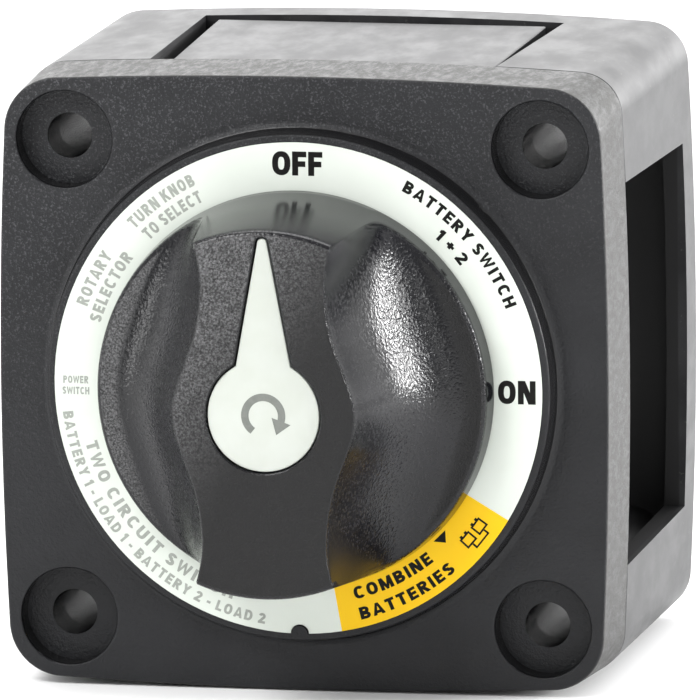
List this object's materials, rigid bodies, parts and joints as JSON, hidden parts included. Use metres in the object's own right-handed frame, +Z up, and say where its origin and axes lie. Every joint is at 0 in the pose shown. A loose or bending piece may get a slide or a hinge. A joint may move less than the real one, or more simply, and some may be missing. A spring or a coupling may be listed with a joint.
{
  "type": "battery switch",
  "caption": "Square bulkhead-mounted rotary battery switch: ridged knob with a white pointer on a raised dial, deep rear cover with cable windows over threaded terminal studs.",
  "frame": {"origin": "centre of the rear mounting face, on the knob's axis", "axes": "+Y into the bulkhead (the dial faces -Y), +Z up towards the off position, +X to the right of a person facing the dial"},
  "size_m": [0.0702, 0.076, 0.0702],
  "materials": {
    "case_plastic": "fine moulded texture",
    "cover_plastic": "satin moulded",
    "knob_plastic": "satin with a fine grain on the ridge",
    "dial_label": "printed film",
    "pointer_plastic": "smooth",
    "base_plastic": "glass-filled moulding",
    "carrier_plastic": "natural nylon",
    "washer_plastic": "natural acetal",
    "seal_rubber": "matt",
    "contact_copper": "bare copper",
    "tinned_copper": "tin plated",
    "stainless_steel": "turned",
    "spring_steel": "bright drawn",
    "shaft_brass": "turned"
  },
  "bodies": {
    "case": {"front_housing": "case_plastic", "dial_label": "dial_label", "rear_cover": "cover_plastic", "top_side_plate": "cover_plastic", "bottom_side_plate": "cover_plastic", "contact_base": "base_plastic", "base_gasket": "seal_rubber", "base_screws": "stainless_steel", "battery_1_contact": "contact_copper", "load_1_contact": "contact_copper", "battery_2_contact": "contact_copper", "load_2_contact": "contact_copper", "battery_1_stud": "tinned_copper", "load_1_stud": "tinned_copper", "battery_2_stud": "tinned_copper", "load_2_stud": "tinned_copper", "stud_washers": "tinned_copper", "jam_nuts": "stainless_steel", "lock_washers": "stainless_steel", "terminal_nuts": "stainless_steel", "detent_spring_left": "spring_steel", "detent_spring_right": "spring_steel"},
    "knob": {"knob": "knob_plastic", "pointer_insert": "pointer_plastic", "knob_screw": "stainless_steel", "rotor_shaft": "shaft_brass", "shaft_seal": "seal_rubber", "thrust_washer": "washer_plastic", "contact_carrier": "carrier_plastic", "bridge_spring_1": "spring_steel", "bridge_spring_2": "spring_steel", "combine_springs": "spring_steel"},
    "bridge_1": {"contact_bridge_1": "contact_copper"},
    "bridge_2": {"contact_bridge_2": "contact_copper"},
    "combine": {"combine_bridge": "contact_copper"}
  },
  "joints": [
    {"name": "knob_turn", "type": "hinge", "parent": "case", "child": "knob", "pos_m": [0, -0.054, 0], "axis": [0, 1, 0], "range_deg": [0, 135], "deforming": ["detent_spring_left", "detent_spring_right"]},
    {"name": "bridge_1_float", "type": "slide", "parent": "knob", "child": "bridge_1", "axis": [0, -1, 0], "range_m": [0, 0.0008], "stiffness_N_per_m": 3000, "springref_m": -0.0015, "deforming": ["bridge_spring_1"]},
    {"name": "bridge_2_float", "type": "slide", "parent": "knob", "child": "bridge_2", "axis": [0, -1, 0], "range_m": [0, 0.0008], "stiffness_N_per_m": 3000, "springref_m": -0.0015, "deforming": ["bridge_spring_2"]},
    {"name": "combine_float", "type": "slide", "parent": "knob", "child": "combine", "axis": [0, -1, 0], "range_m": [0, 0.0008], "stiffness_N_per_m": 3000, "springref_m": -0.0015, "deforming": ["combine_springs"]}
  ]
}
